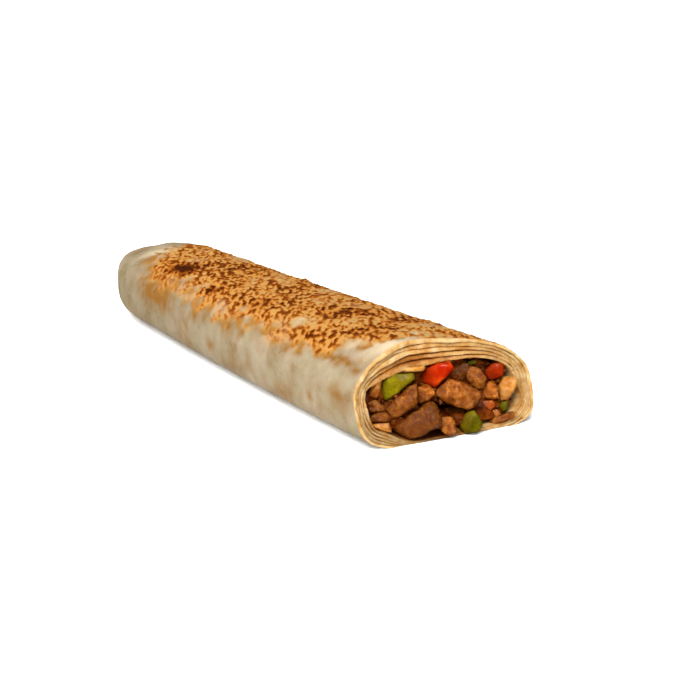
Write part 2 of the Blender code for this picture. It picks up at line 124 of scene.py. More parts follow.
# Brown marks: part of the length, direction, half length and half width in millimetres, strength
BROWN_MARKS = [
    (0.722, 154, 10, 5.5, 0.6), (0.654, 160, 9, 4.6, 0.45), (0.756, 129, 5, 3, 0.7),
    (0.819, 129, 5, 2.4, 0.3), (0.52, 158, 3.5, 2.4, 0.4), (0.477, 156, 1.8, 2, 0.5),
    (0.51, 144, 2.6, 2.2, 0.45), (0.392, 154, 4.5, 3.2, 0.6), (0.337, 145, 2.6, 1.6, 0.5),
    (0.342, 158, 1.6, 1.5, 0.55), (0.554, 176, 4, 2.2, 0.25), (0.558, -161, 6, 5, 0.15),
    (0.277, 140, 3, 1.8, 0.7), (0.222, 138, 2.6, 1.6, 0.6), (0.172, 149, 2.4, 1.9, 0.5),
    (0.204, 153, 2, 1.5, 0.4), (0.239, 149, 2, 1.5, 0.3), (0.131, 142, 1.8, 1.5, 0.5),
    (0.108, 143, 2.8, 1.8, 0.55), (0.076, 145, 3.1, 2.2, 0.6), (0.048, 143, 3.3, 1.6, 0.55),
    (0.108, 137, 5.4, 2, 0.4), (0.018, 147, 1.8, 1.4, 0.5), (0.047, 129, 1.6, 1.2, 0.3),
    (0.171, 168, 1.3, 1.5, 0.3), (0.313, -164, 2.4, 2.2, 0.3), (0.208, -153, 4.5, 3.2, 0.35),
    (0.124, -166, 2, 2.4, 0.42), (0.049, 177, 5, 3.2, 0.35), (0.367, -161, 5, 4, 0.22),
    (0.096, 179, 1.2, 1.8, 0.2), (0.458, -165, 2.6, 2.4, 0.4), (0.358, 175, 1, 2.4, 0.25),
    (0.266, -158, 2.3, 1.9, 0.2), (0.3, 22, 7, 5, 0.45), (0.52, 16, 6, 4, 0.4), (0.68, 20, 7, 5, 0.5),
    (0.13, 14, 6, 5, 0.35), (0.42, -12, 3, 4, 0.3), (0.2, -4, 3, 3, 0.25), (0.6, -16, 3, 5, 0.3),
    (0.83, 8, 5, 4, 0.3)]
# Burnt places on the toasted top, listed the same way
BURNT = [(0.7, 117.5, 8, 4.8, 1.7), (0.7, 110, 7, 7, 0.4), (0.693, 98, 6, 6, 0.2),
         (0.234, 98, 8, 8, 0.3), (0.379, 119, 7, 7, 0.3), (0.217, 80, 8, 8, 0.3),
         (0.098, 107, 6, 6, 0.25), (0.61, 72, 9, 9, 0.3), (0.52, 126, 7, 7, 0.25),
         (0.46, 60, 8, 8, 0.3), (0.14, 66, 7, 7, 0.3), (0.57, 100, 6, 6, 0.25)]
# Pale places on it
PALE = [(0.85, 112, 6, 6, 0.9), (0.85, 128, 6, 6, 0.3), (0.89, 98, 8, 8, 0.4),
        (0.256, 119, 4, 4, 0.4), (0.239, 124, 4, 4, 0.4), (0.043, 93, 4.5, 4.5, 0.6),
        (0.074, 127, 4, 4, 0.5), (0.63, 122, 4, 4, 0.2), (0.33, 90, 4, 4, 0.2),
        (0.16, 104, 4, 4, 0.3)]


# Pieces at the cut, as in the solids: finish, middle (right, up the cut, out of the cut), half
# depth, faces around the outline, edge sharpness and lumpiness; sizes in millimetres.
PIECES = {
    "green_pepper_left": ("pepper", (-17.1, 20.5, -3.6), 4.4,
        [(17, 6.8), (93, 4.2), (118, 3.5), (182, 4.9), (276, 5.1), (310, 2.9)], 6, 0.05),
    "tomato_centre": ("tomato", (-0.8, 21.8, -3.6), 4.2,
        [(37, 6.1), (116, 3.2), (158, 4.5), (239, 5.3), (261, 5.5), (318, 3.2)], 6, 0.04),
    "meat_strip_left": ("meat", (-16.1, 13.9, -2.2), 4.8,
        [(31, 7.2), (134, 2.6), (230, 6.4), (307, 3.4), (353, 4.9)], 5, 0.12),
    "meat_nub_left": ("meat", (-7.1, 15.7, -2.6), 4.4,
        [(44, 3.0), (110, 3.1), (185, 2.7), (278, 3.1), (320, 2.8)], 5, 0.12),
    "meat_front_low": ("meat", (-12.1, 6.7, -0.2), 5.6,
        [(16, 7.3), (69, 8.6), (127, 3.8), (203, 10.6), (246, 7.2), (299, 4.3)], 5, 0.1),
    "meat_small_low": ("meat", (-2.0, 3.8, 0.8), 4.0,
        [(18, 2.5), (95, 3.3), (179, 2.6), (240, 2.9), (310, 3.5)], 4, 0.08),
    "onion_left": ("browned", (-24.3, 20.1, -4.6), 3.6,
        [(120, 2.8), (167, 2.0), (234, 3.3), (310, 3.0), (358, 1.8)], 5, 0.1),
    "meat_edge_left": ("meat", (-25.3, 14.1, -4.8), 3.8,
        [(36, 2.0), (98, 2.3), (192, 2.5), (270, 1.9)], 5, 0.14),
    "meat_low_left": ("meat", (-24.2, 10.2, -4.4), 4.0,
        [(67, 2.3), (129, 2.3), (269, 1.6), (347, 3.9)], 5, 0.14),
    "onion_low_left": ("pale", (-24.8, 6.7, -3.6), 4.0,
        [(1, 4.8), (18, 2.9), (100, 2.0), (221, 2.7), (265, 1.9)], 5, 0.1),
    "meat_centre": ("meat", (5.2, 13.6, -1.6), 5.4,
        [(68, 4.2), (126, 6.4), (197, 7.9), (250, 4.3), (315, 6.7), (358, 9.3)], 6, 0.1),
    "meat_upper": ("meat", (14.1, 18.7, -3.8), 4.6,
        [(4, 3.9), (40, 3.5), (72, 3.5), (156, 4.2), (231, 3.0), (292, 4.6)], 6, 0.08),
    "tomato_right": ("tomato", (22.7, 19.3, -4.0), 4.0,
        [(88, 3.1), (139, 2.8), (214, 3.5), (295, 2.6), (356, 3.2)], 6, 0.04),
    "chicken_right": ("pale", (26.0, 13.0, -2.8), 4.2,
        [(5, 3.9), (95, 4.1), (160, 3.1), (194, 3.7), (227, 4.9), (329, 2.7)], 5, 0.1),
    "meat_right": ("meat", (19.8, 12.8, -3.6), 4.2,
        [(18, 2.5), (86, 3.7), (149, 2.7), (224, 3.1), (285, 3.0)], 5, 0.1),
    "tomato_low_right": ("stewed", (17.1, 8.0, -3.6), 3.8,
        [(23, 3.0), (94, 2.1), (152, 2.7), (227, 2.7), (301, 2.0)], 6, 0.04),
    "chicken_low_right": ("browned", (19.2, 4.6, -3.2), 3.4,
        [(33, 2.5), (104, 1.7), (227, 2.2), (282, 1.6)], 4, 0.1),
    "meat_low_right": ("meat", (21.0, 3.2, -2.0), 3.4,
        [(20, 5.0), (106, 1.4), (200, 4.8), (288, 1.6)], 5, 0.1),
    "green_sprig_right": ("pepper", (23.3, 7.0, -2.0), 2.6,
        [(107, 1.7), (199, 1.5), (282, 2.1), (359, 1.4)], 3, 0.12),
    "green_pepper_low": ("pepper", (7.5, 3.5, 0.6), 4.2,
        [(34, 3.4), (105, 4.2), (156, 3.2), (233, 4.1), (277, 3.5), (331, 3.8)], 6, 0.05),
    "meat_behind_low": ("meat", (5.2, 6.6, -5.2), 2.9,
        [(10, 4.0), (100, 3.6), (190, 6.0), (270, 3.6)], 5, 0.12),
    "meat_behind_top": ("meat", (9.4, 21.0, -5.4), 2.6,
        [(20, 4.2), (110, 3.0), (200, 4.2), (290, 3.0)], 5, 0.12),
    "meat_behind_right": ("meat", (14.6, 6.6, -5.0), 2.8,
        [(15, 4.0), (105, 3.4), (195, 4.0), (285, 3.4)], 5, 0.12),
    "green_strip_top": ("pepper", (13.6, 23.6, -3.4), 2.4,
        [(5, 1.6), (95, 0.8), (160, 1.3), (280, 0.7)], 5, 0.04),
    "bread_flap_left": ("flap", (-12.4, 25.1, -3.8), 3.4,
        [(8, 6.4), (98, 1.5), (188, 6.4), (278, 1.5)], 4, 0.08),
}
# Looks of single pieces: brightness as a part of their finish's own, partly their own tone and partly
# painted shade on the pieces set back behind the others and on the low pepper; and the side that is darker,
# partly soaked with sauce and partly painted shade: its direction across their front in degrees, and how much
LOOKS = {
    "green_pepper_left": (1, 40, 0.35), "tomato_centre": (1, 190, 0.35),
    "meat_strip_left": (0.68, 250, 0.4), "meat_nub_left": (1.2, 250, 0.3),
    "meat_front_low": (0.47, 270, 0.45), "meat_small_low": (0.95, 250, 0.3), "onion_left": (0.75, 250, 0.5),
    "meat_edge_left": (0.55, 0, 0), "meat_low_left": (0.65, 0, 0), "onion_low_left": (1, 20, 0.5),
    "meat_centre": (0.9, 270, 0.35), "meat_upper": (0.78, 180, 0.35), "tomato_right": (0.5, 200, 0.6),
    "chicken_right": (1, 240, 0.5), "meat_right": (1.2, 0, 0), "tomato_low_right": (0.75, 190, 0.9),
    "chicken_low_right": (1, 230, 0.5), "meat_low_right": (0.75, 0, 0), "green_sprig_right": (0.6, 0, 0),
    "green_pepper_low": (0.66, 180, 0.5), "meat_behind_low": (0.22, 0, 0), "meat_behind_top": (0.45, 0, 0),
    "meat_behind_right": (0.5, 0, 0), "green_strip_top": (0.35, 0, 0), "bread_flap_left": (1, 190, 0.4)}

# Finishes of soaked pieces: dark, middle and light colour
SOAKED_FINISHES = [
    ("pale", "soaked_pieces", (0.23, 0.068, 0.007), (0.34, 0.14, 0.022), (0.44, 0.235, 0.062)),
    ("browned", "browned_pieces", (0.13, 0.028, 0.002), (0.23, 0.07, 0.007), (0.33, 0.135, 0.024)),
    ("stewed", "stewed_tomato", (0.16, 0.018, 0.001), (0.3, 0.055, 0.003), (0.4, 0.12, 0.008)),
    ("flap", "soaked_bread", (0.26, 0.085, 0.009), (0.36, 0.155, 0.027), (0.45, 0.25, 0.075))]

# Directions of the cut: out of it, to the right, and up the leaning face
OUT = Vector((math.tan(CUT_TURN), -1.0, math.tan(CUT_LEAN))).normalized()
RIGHT = Vector((1.0, math.tan(CUT_TURN), 0.0)).normalized()
UP = RIGHT.cross(-OUT).normalized()

# Directions of the pieces: ahead, to their right and up their front
FRONT = Vector((-math.sin(PIECE_TURN) * math.cos(PIECE_TILT), -math.cos(PIECE_TURN) * math.cos(PIECE_TILT),
                math.sin(PIECE_TILT)))
SIDE = Vector((math.cos(PIECE_TURN), -math.sin(PIECE_TURN), 0.0))
LIFT = SIDE.cross(-FRONT).normalized()


# Shape of the roll

def along(s, near, middle, far):
    """Smooth change from near (s = 0) through middle (s = 0.5) to far (s = 1)."""
    return near * (1 - s) * (1 - 2 * s) + 4 * middle * s * (1 - s) + far * s * (2 * s - 1)


def smooth(value, low, high):
    """0 below low, 1 above high, eased between."""
    t = np.clip((value - low) / (high - low), 0.0, 1.0)
    return t * t * (3 - 2 * t)


def facing(angle, degrees, low, high):
    """1 around a direction of the cross-section, 0 away from it."""
    return smooth(np.cos(angle - math.radians(degrees)), low, high)


def section(s):
    """Half width, half height, middle height and the two powers of the roll's outline."""
    width = along(s, CUT_WIDTH, MIDDLE_WIDTH, FAR_WIDTH)
    height = along(s, CUT_HEIGHT, MIDDLE_HEIGHT, FAR_HEIGHT)
    middle = height / 2
    left = np.maximum((1 - s) * ROLL_LENGTH, 0.0)
    k = np.clip(1 - left / END_ROUND, 0.0, 1.0)
    width = width * (1 - 0.98 * (1 - (1 - k ** END_POWER) ** (1 / END_POWER)))
    k = np.clip(1 - left / END_DROP, 0.0, 1.0)
    height = height * (1 - 0.98 * (1 - np.sqrt(1 - k * k)))
    t = np.clip(s, 0.0, 1.0)
    top = TOP_POWER[0] * (1 - t) + TOP_POWER[1] * t
    under = UNDER_POWER[0] * (1 - t) + UNDER_POWER[1] * t
    return width / 2, height / 2, middle, top, under


def rim_thickness(angle, s):
    """Thickness of the rolled bread in a direction, thinner at the lower lip of the cut."""
    steps = len(RIM_THICKNESS)
    place_on = (angle % math.tau) / math.tau * steps
    low = np.floor(place_on).astype(int) % steps
    ease = (1 - np.cos(np.pi * (place_on % 1.0))) / 2
    table = np.array(RIM_THICKNESS)
    thick = table[low] * (1 - ease) + table[(low + 1) % steps] * ease
    turn = np.degrees(angle) % 360
    down = smooth(turn, 226, 246) * (1 - smooth(turn, 302, 320))
    lip = 1 - smooth(s * ROLL_LENGTH, 0.0, LIP_LENGTH)
    return thick + (LIP_THICKNESS - thick) * down * lip


def outline(angle, s, inset=0.0, closing=1.0):
    """Point of the roll's cross-section in a direction, and the outward normal there."""
    wide, high, middle, top, under = section(s)
    wide, high = (wide - inset) * closing, (high - inset) * closing
    c, t = np.cos(angle), np.sin(angle)
    power = np.where(t >= 0, top, under)
    reach = (np.abs(c) ** power + np.abs(t) ** power) ** (-1 / power)
    across = np.sign(c) * np.abs(c) ** (power - 1) / wide
    rise = np.sign(t) * np.abs(t) ** (power - 1) / high
    size = np.hypot(across, rise)
    shoulder = SHOULDER_RISE * np.exp(-((angle - SHOULDER_ANGLE) / SHOULDER_SPREAD) ** 2)
    shoulder = shoulder * (1 - smooth(s * ROLL_LENGTH, 0.0, SHOULDER_LENGTH))
    shoulder = shoulder * np.maximum(1 - inset / rim_thickness(angle, s), 0.0)
    return wide * reach * c, middle + high * reach * t + shoulder, across / size, rise / size


def place(x, z, s):
    """Put cross-section points at their stations, following the leaning cut near the front."""
    z = z - FLAT_DEPTH
    x = x + SIDEWAYS_BOW * 4 * s * (1 - s)
    front = CUT_Y + x * math.tan(CUT_TURN) + z * math.tan(CUT_LEAN)
    return np.stack([x, front * (1 - s) + (CUT_Y + ROLL_LENGTH) * s, z], axis=-1)


def underside(s):
    """Lowest height of the skin, measured like the cross-section's heights."""
    away = np.min([np.abs(s - rest) for rest in REST_PLACES], axis=0)
    return FLAT_DEPTH + UNDER_LIFT * smooth(away, 0.045, 0.07)


def noise_at(points, size, seed=0.0):
    """Soft noise, about -0.7 to 0.7, with lumps of a size: one number, or one for X, Y and Z."""
    return np.array([noise.noise(p) for p in (points / np.array(size) + seed).tolist()])


def lumps_at(points, size, seed=0.0):
    """Soft noise on a surface, with the size of its lumps in millimetres."""
    return noise_at(points, np.array(size) * MM, seed)


def flakes_at(points, size, seed=0.0):
    """Rounded flakes of uneven height, 0 to 1, and a steady random number for each flake."""
    found = [noise.voronoi(p) for p in (points / size + seed).tolist()]
    near = np.array([f[0][0] for f in found])
    own = np.array([noise.noise(f[1][0] * 7.7) for f in found])
    return np.clip(1.15 - 1.5 * near, 0.0, 1.0), np.clip(0.5 + own, 0.0, 1.0)


# Making pieces

def ball_of_rings(around, count):
    """A sphere to be moved into shape; for each point its ring, column and whether it is a pole."""
    bm = bmesh.new()
    bmesh.ops.create_uvsphere(bm, u_segments=around, v_segments=count + 1, radius=1.0)
    at = np.array([v.co[:] for v in bm.verts])
    ring = np.rint(np.arctan2(np.hypot(at[:, 0], at[:, 1]), at[:, 2]) * (count + 1) / np.pi).astype(int)
    column = np.rint(np.arctan2(at[:, 1], at[:, 0]) * around / math.tau).astype(int) % around
    return bm, np.clip(ring - 1, 0, count - 1), column, (ring == 0) | (ring == count + 1)


def put_in_scene(name, data):
    made = bpy.data.objects.new(name, data)
    bpy.context.collection.objects.link(made)
    return made


def add_piece(name, bm, points, finish, stands_for, marks):
    """Move the mesh's points, close it off, give it its finish and join it to the frame."""
    for vert, point in zip(bm.verts, points.tolist()):
        vert.co = point
    bmesh.ops.recalc_face_normals(bm, faces=bm.faces[:])
    if bm.calc_volume(signed=True) < 0:
        bmesh.ops.reverse_faces(bm, faces=bm.faces[:])
    mesh = bpy.data.meshes.new(name)
    bm.to_mesh(mesh)
    bm.free()
    for mark, values in marks.items():
        wide = np.asarray(values, dtype=np.float32)
        kind = "FLOAT" if wide.ndim == 1 else "FLOAT_VECTOR"
        layer = mesh.attributes.new(mark, kind, "POINT")
        layer.data.foreach_set("value" if wide.ndim == 1 else "vector", wide.ravel())
    mesh.shade_smooth()
    mesh.materials.append(finish)
    made = put_in_scene(name, mesh)
    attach(made, "root")
    if stands_for:
        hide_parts(*stands_for)


# Finishes

def new_finish(name, **values):
    made = bpy.data.materials.new(name)
    made.use_nodes = True
    shader = made.node_tree.nodes["Principled BSDF"]
    for socket, value in values.items():
        shader.inputs[socket.replace("_", " ")].default_value = value
    return made, made.node_tree, shader


def add_node(tree, kind, feeds=None, **settings):
    made = tree.nodes.new(kind)
    for key, value in settings.items():
        setattr(made, key, value)
    for key, value in (feeds or {}).items():
        if isinstance(value, bpy.types.NodeSocket):
            tree.links.new(value, made.inputs[key])
        else:
            made.inputs[key].default_value = value
    return made


def speckle(tree, where, scale, detail=3.0, rough=0.55):
    """Noise of a scale, from 0 to 1."""
    made = add_node(tree, "ShaderNodeTexNoise",
                    {"Vector": where, "Scale": scale, "Detail": detail, "Roughness": rough})
    return made.outputs["Fac"]


def maths(tree, what, first, second=0.0, third=0.0):
    made = add_node(tree, "ShaderNodeMath", {0: first, 1: second, 2: third}, operation=what)
    return made.outputs[0]


def mark_value(tree, name):
    return add_node(tree, "ShaderNodeAttribute", attribute_name=name).outputs["Fac"]


def spread(tree, value, low, high):
    """0 at low, 1 at high."""
    made = add_node(tree, "ShaderNodeMapRange", {"Value": value, "From Min": low, "From Max": high})
    made.clamp = True
    return made.outputs[0]


def ramp(tree, value, stops):
    """Colour that changes with a value; stops are (place, colour)."""
    made = add_node(tree, "ShaderNodeValToRGB", {"Fac": value})
    points = made.color_ramp.elements
    while len(points) < len(stops):
        points.new(0.5)
    for point, (where, colour) in zip(points, stops):
        point.position = where
        point.color = (*colour, 1.0)
    return made.outputs["Color"]


def mix(tree, factor, first, second, how="MIX"):
    made = add_node(tree, "ShaderNodeMix", data_type="RGBA", blend_type=how)
    for socket, value in zip([s for s in made.inputs if s.enabled], (factor, first, second)):
        if isinstance(value, bpy.types.NodeSocket):
            tree.links.new(value, socket)
        else:
            socket.default_value = value if isinstance(value, float) else (*value, 1.0)
    return [s for s in made.outputs if s.enabled][0]


def bump(tree, shader, height, depth):
    made = add_node(tree, "ShaderNodeBump", {"Height": height, "Distance": depth, "Strength": 1.0})
    tree.links.new(made.outputs["Normal"], shader.inputs["Normal"])


def paint(tree, shader, colour, height, depth):
    """Colour of a finish and the height of its fine relief."""
    tree.links.new(colour, shader.inputs["Base Color"])
    bump(tree, shader, height, depth)


def own_place(tree):
    return add_node(tree, "ShaderNodeTexCoord").outputs["Object"]


def stretched(tree, where, scale):
    """The same place with a pattern stretched along X, Y or Z."""
    return add_node(tree, "ShaderNodeMapping", {"Vector": where, "Scale": scale}).outputs[0]


def toasted_skin_finish():
    made, tree, shader = new_finish("toasted_skin", Roughness=0.75, Specular_IOR_Level=0.004)
    where = own_place(tree)
    fine = speckle(tree, where, 900.0, 3.0, 0.6)
    mottle = speckle(tree, where, 75.0, 5.0, 0.6)
    flour = ramp(tree, mottle, [(0.3, (0.132, 0.09, 0.044)), (0.44, (0.167, 0.13, 0.078)),
        (0.58, (0.197, 0.16, 0.106)), (0.74, (0.243, 0.202, 0.142))])
    hue = speckle(tree, where, 60.0, 2.0)
    flour = mix(tree, spread(tree, hue, 0.56, 0.78), flour, (0.172, 0.15, 0.084))
    flour = mix(tree, spread(tree, hue, 0.44, 0.24), flour, (0.21, 0.158, 0.106))
    wrinkle = maths(tree, "ABSOLUTE", maths(tree, "SUBTRACT", speckle(tree, where, 160.0, 2.0), 0.5))
    wrinkle = maths(tree, "MULTIPLY", spread(tree, wrinkle, 0.022, 0.0), spread(tree, mottle, 0.5, 0.4))
    flour = mix(tree, maths(tree, "MULTIPLY", wrinkle, 0.45), flour, (0.09, 0.055, 0.025))
    # Painted shade: the light mark makes the skin darker towards the far end.
    flour = mix(tree, 1.0, flour, mark_value(tree, "light"), "MULTIPLY")
    uneven = maths(tree, "SUBTRACT", fine, 0.5)
    light = maths(tree, "MULTIPLY_ADD", uneven, 0.5, mark_value(tree, "cream"))
    flour = mix(tree, spread(tree, light, 0.05, 0.95), flour, (0.4, 0.325, 0.215))
    shade = maths(tree, "MULTIPLY_ADD", uneven, 0.5, mark_value(tree, "brown"))
    skin = mix(tree, spread(tree, shade, 0.04, 0.9), flour, (0.142, 0.062, 0.012))
    heat = maths(tree, "MULTIPLY_ADD", uneven, 0.55, mark_value(tree, "crusting"))
    crust = ramp(tree, heat, [(0.02, (0.3, 0.198, 0.082)), (0.12, (0.3, 0.16, 0.043)),
        (0.23, (0.32, 0.145, 0.032)), (0.4, (0.235, 0.075, 0.009)),
        (0.62, (0.125, 0.028, 0.002)), (0.95, (0.03, 0.006, 0.0006))])
    edge = maths(tree, "MULTIPLY_ADD", uneven, 0.5, mark_value(tree, "toast"))
    colour = mix(tree, spread(tree, edge, 0.0, 0.7), skin, crust)
    colour = mix(tree, mark_value(tree, "cut"), colour, bread_colour(tree, where))
    paint(tree, shader, colour, maths(tree, "ADD", fine, mottle), 0.0003)
    return made


def bread_colour(tree, where):
    """Colour of cut bread, in uneven streaks."""
    soft = speckle(tree, where, 280.0, 4.0, 0.6)
    return ramp(tree, soft, [(0.3, (0.262, 0.122, 0.028)), (0.43, (0.345, 0.195, 0.065)),
        (0.56, (0.41, 0.262, 0.11)), (0.74, (0.49, 0.35, 0.18))])


def layer_finish():
    made, tree, shader = new_finish("rolled_layers", Roughness=0.6, Specular_IOR_Level=0.02)
    where = own_place(tree)
    fine = speckle(tree, where, 1000.0, 3.0)
    # Stains of sauce together with painted shade at the sheets' edges and further in.
    stain_and_shade = maths(tree, "MULTIPLY_ADD", maths(tree, "SUBTRACT", fine, 0.5), 0.5, mark_value(tree, "sauce_and_shade"))
    stain_and_shade_colour = ramp(tree, stain_and_shade, [(0.1, (0.36, 0.175, 0.042)), (0.45, (0.25, 0.088, 0.012)),
        (0.9, (0.15, 0.042, 0.006))])
    colour = mix(tree, spread(tree, stain_and_shade, 0.05, 0.55), bread_colour(tree, where), stain_and_shade_colour)
    # Painted shade: the light mark makes the layers darker at the right, the lower left and the left.
    colour = mix(tree, 1.0, colour, mark_value(tree, "light"), "MULTIPLY")
    paint(tree, shader, colour, fine, 0.0003)
    return made


def shaded(tree, colour, dark):
    """Colour times the piece's own brightness, which is partly painted shade, and darker with sauce and
    painted shade in its creases and where it meets other pieces.
    """
    colour = mix(tree, 1.0, colour, mark_value(tree, "shade"), "MULTIPLY")
    return mix(tree, mark_value(tree, "sauce_and_shade"), colour, dark)


def meat_finish():
    made, tree, shader = new_finish("seared_meat", Roughness=0.2, Specular_IOR_Level=0.028)
    grain = add_node(tree, "ShaderNodeAttribute", attribute_name="grain").outputs["Vector"]
    fibre = speckle(tree, stretched(tree, grain, (1.3, 0.5, 0.55)), 2.0, 3.0, 0.6)
    blotch = speckle(tree, own_place(tree), 420.0, 4.0, 0.65)
    tone = maths(tree, "MULTIPLY_ADD", maths(tree, "SUBTRACT", fibre, 0.5), 0.22, blotch)
    # Painted shade and highlight: raised parts of the relief lighter, low parts darker.
    tone = maths(tree, "MULTIPLY_ADD", mark_value(tree, "high"), 0.22, tone)
    colour = ramp(tree, tone, [(0.32, (0.092, 0.0175, 0.0009)), (0.5, (0.142, 0.033, 0.002)),
        (0.66, (0.21, 0.057, 0.005)), (0.86, (0.35, 0.125, 0.018))])
    relief = maths(tree, "ADD", fibre, speckle(tree, grain, 2.6, 3.0))
    paint(tree, shader, shaded(tree, colour, (0.072, 0.016, 0.0015)), relief, 0.0003)
    return made


def tomato_finish():
    made, tree, shader = new_finish("tomato", Roughness=0.18, Specular_IOR_Level=0.008,
                                    Subsurface_Weight=0.08, Subsurface_Scale=0.0015)
    where = own_place(tree)
    soft = speckle(tree, where, 170.0, 2.0)
    colour = ramp(tree, soft, [(0.3, (0.17, 0.004, 0.0005)), (0.48, (0.27, 0.012, 0.0008)),
        (0.68, (0.38, 0.04, 0.002))])
    paint(tree, shader, shaded(tree, colour, (0.12, 0.012, 0.001)), speckle(tree, where, 500.0, 2.0), 0.0002)
    return made


def pepper_finish():
    made, tree, shader = new_finish("green_pepper", Roughness=0.28, Specular_IOR_Level=0.006,
                                    Subsurface_Weight=0.06, Subsurface_Scale=0.001)
    where = own_place(tree)
    soft = speckle(tree, where, 260.0, 4.0, 0.6)
    colour = ramp(tree, soft, [(0.3, (0.045, 0.038, 0.0008)), (0.46, (0.088, 0.071, 0.001)),
        (0.6, (0.14, 0.106, 0.0015)), (0.76, (0.24, 0.16, 0.007))])
    paint(tree, shader, shaded(tree, colour, (0.045, 0.022, 0.001)), speckle(tree, where, 600.0, 3.0), 0.0003)
    return made


def soaked_finish(name, dark, middle, light):
    """Soft food soaked with sauce: onion, chicken, tomato and bread."""
    made, tree, shader = new_finish(name, Roughness=0.36, Specular_IOR_Level=0.03, Subsurface_Weight=0.06,
                                    Subsurface_Scale=0.001)
    soft = speckle(tree, own_place(tree), 330.0, 4.0, 0.6)
    colour = ramp(tree, soft, [(0.3, dark), (0.5, middle), (0.7, light)])
    paint(tree, shader, shaded(tree, colour, (0.12, 0.026, 0.003)), soft, 0.0006)
    return made


def mass_finish():
    made, tree, shader = new_finish("saucy_filling", Roughness=0.35, Specular_IOR_Level=0.005)
    where = own_place(tree)
    soft = speckle(tree, where, 330.0, 4.0)
    colour = ramp(tree, soft, [(0.3, (0.03, 0.004, 0.0003)), (0.5, (0.078, 0.014, 0.001)),
        (0.72, (0.18, 0.04, 0.003))])
    # Painted shadow and light from the shade mark: darker in the hole, lighter at the right.
    colour = mix(tree, 1.0, colour, mark_value(tree, "shade"), "MULTIPLY")
    paint(tree, shader, colour, soft, 0.0008)
    return made


def floor_finish():
    made, tree, shader = new_finish("pale_floor", Roughness=0.9, Specular_IOR_Level=0.0)
    tint = ramp(tree, speckle(tree, own_place(tree), 3.0), [(0.0, (0.93,) * 3), (1.0, (0.95,) * 3)])
    tree.links.new(tint, shader.inputs["Base Color"])
    return made


# Skin of the roll

def blister_list():
    """Even scatter of blisters over the toasted top, as in the solid."""
    spots = []
    for k in range(BLISTERS):
        across = (k * 0.618034) % 1.0
        spots.append((math.radians(38 + 104 * across), (k + 0.7) / (BLISTERS + 2.0),
                      (4.0 + 3.0 * ((k * 0.754878) % 1.0)) * MM))
    return spots


def toast_share(angle, s, points):
    """Where the top is toasted: 0 outside, 1 well inside, with a ragged edge."""
    turn = np.degrees(angle)
    edge = np.interp(s, [e[0] for e in TOAST_EDGE], [e[1] for e in TOAST_EDGE])
    ragged = lumps_at(points, 14, 3.0) * 13 + lumps_at(points, 5, 8.0) * 12
    left = smooth(edge - turn + ragged, -20, 13)
    right = smooth(turn - TOAST_RIGHT + ragged, -8, 14)
    start = np.interp(turn, [75, 100, 120], [-6.0, -2.0, 5.0])
    front = 0.15 + 0.85 * smooth(s * ROLL_LENGTH / MM - start + ragged * 0.3, -2, 5)
    far = smooth(TOAST_END - s + ragged * 0.002, 0.0, 0.04)
    return left * right * front * far


def marks_on(points, listed, power=1.3):
    """Sum of soft brown marks at their places on the skin."""
    total = np.zeros(len(points))
    for s, degrees, half_long, half_wide, strength in listed:
        x, z = outline(math.radians(degrees), s)[:2]
        gap = points - place(x, z, s)
        away = (gap[:, 1] / (half_long * MM)) ** 2 + (gap[:, 0] ** 2 + gap[:, 2] ** 2) / (half_wide * MM) ** 2
        total += strength * np.exp(-power * away)
    return total


def skin_columns(count):
    """Directions of the mesh columns: close together on the toasted top and at the seam."""
    fine = np.linspace(-math.pi, math.pi, 4001)
    x, z = outline(fine, np.full_like(fine, 0.45))[:2]
    step = np.hypot(np.gradient(x), np.gradient(z))
    want = step * (1 + 1.25 * smooth(np.degrees(fine), 15, 28) * smooth(-np.degrees(fine), -168, -150))
    want += np.exp(-((fine - SEAM_ANGLE) / 0.02) ** 2) * step * 6
    total = np.concatenate([[0.0], np.cumsum(want[1:])])
    return np.interp(np.arange(count) / count, total / total[-1], fine)


def skin_stations():
    """For each ring of the skin: station, sheet depth (0 outside, 1 inside), hollow (0 or 1), closing."""
    rings = []
    for s in np.concatenate([np.linspace(0.9995, 0.9, 42), np.linspace(0.8975, 0.075, 258),
                             np.linspace(0.0725, 0.0, 34)]):
        rings.append((s, 0.0, 0.0, 1.0))
    for turn in np.linspace(0.15, 0.85, 5):
        rings.append((-0.0011 * math.sin(math.pi * turn), (1 - math.cos(math.pi * turn)) / 2, 0.0, 1.0))
    for s in np.linspace(0.0, 1.0, 16) ** 1.4 * LAYER_DEPTH / ROLL_LENGTH:
        rings.append((s + 0.0003, 1.0, 0.0, 1.0))
    for s in (0.06, 0.07, 0.09, 0.12, 0.18, 0.3, 0.45, 0.6, 0.72, 0.8):
        rings.append((s, 1.0, 1.0, 1.0))
    for k in range(1, 7):
        turn = math.pi / 2 * k / 7
        rings.append((CAVITY_BEND + (CAVITY_END - CAVITY_BEND) * math.sin(turn), 1.0, 1.0, math.cos(turn)))
    return np.array(rings)


def front_shift(angle, seed, amount):
    """Uneven front edge of a layer, in metres along the roll."""
    around = np.stack([np.cos(angle) * 4, np.sin(angle) * 4, np.full_like(angle, seed)], axis=-1)
    return amount * (noise_at(around, 1.0) + 0.5 * noise_at(around, 0.3, 5.0))


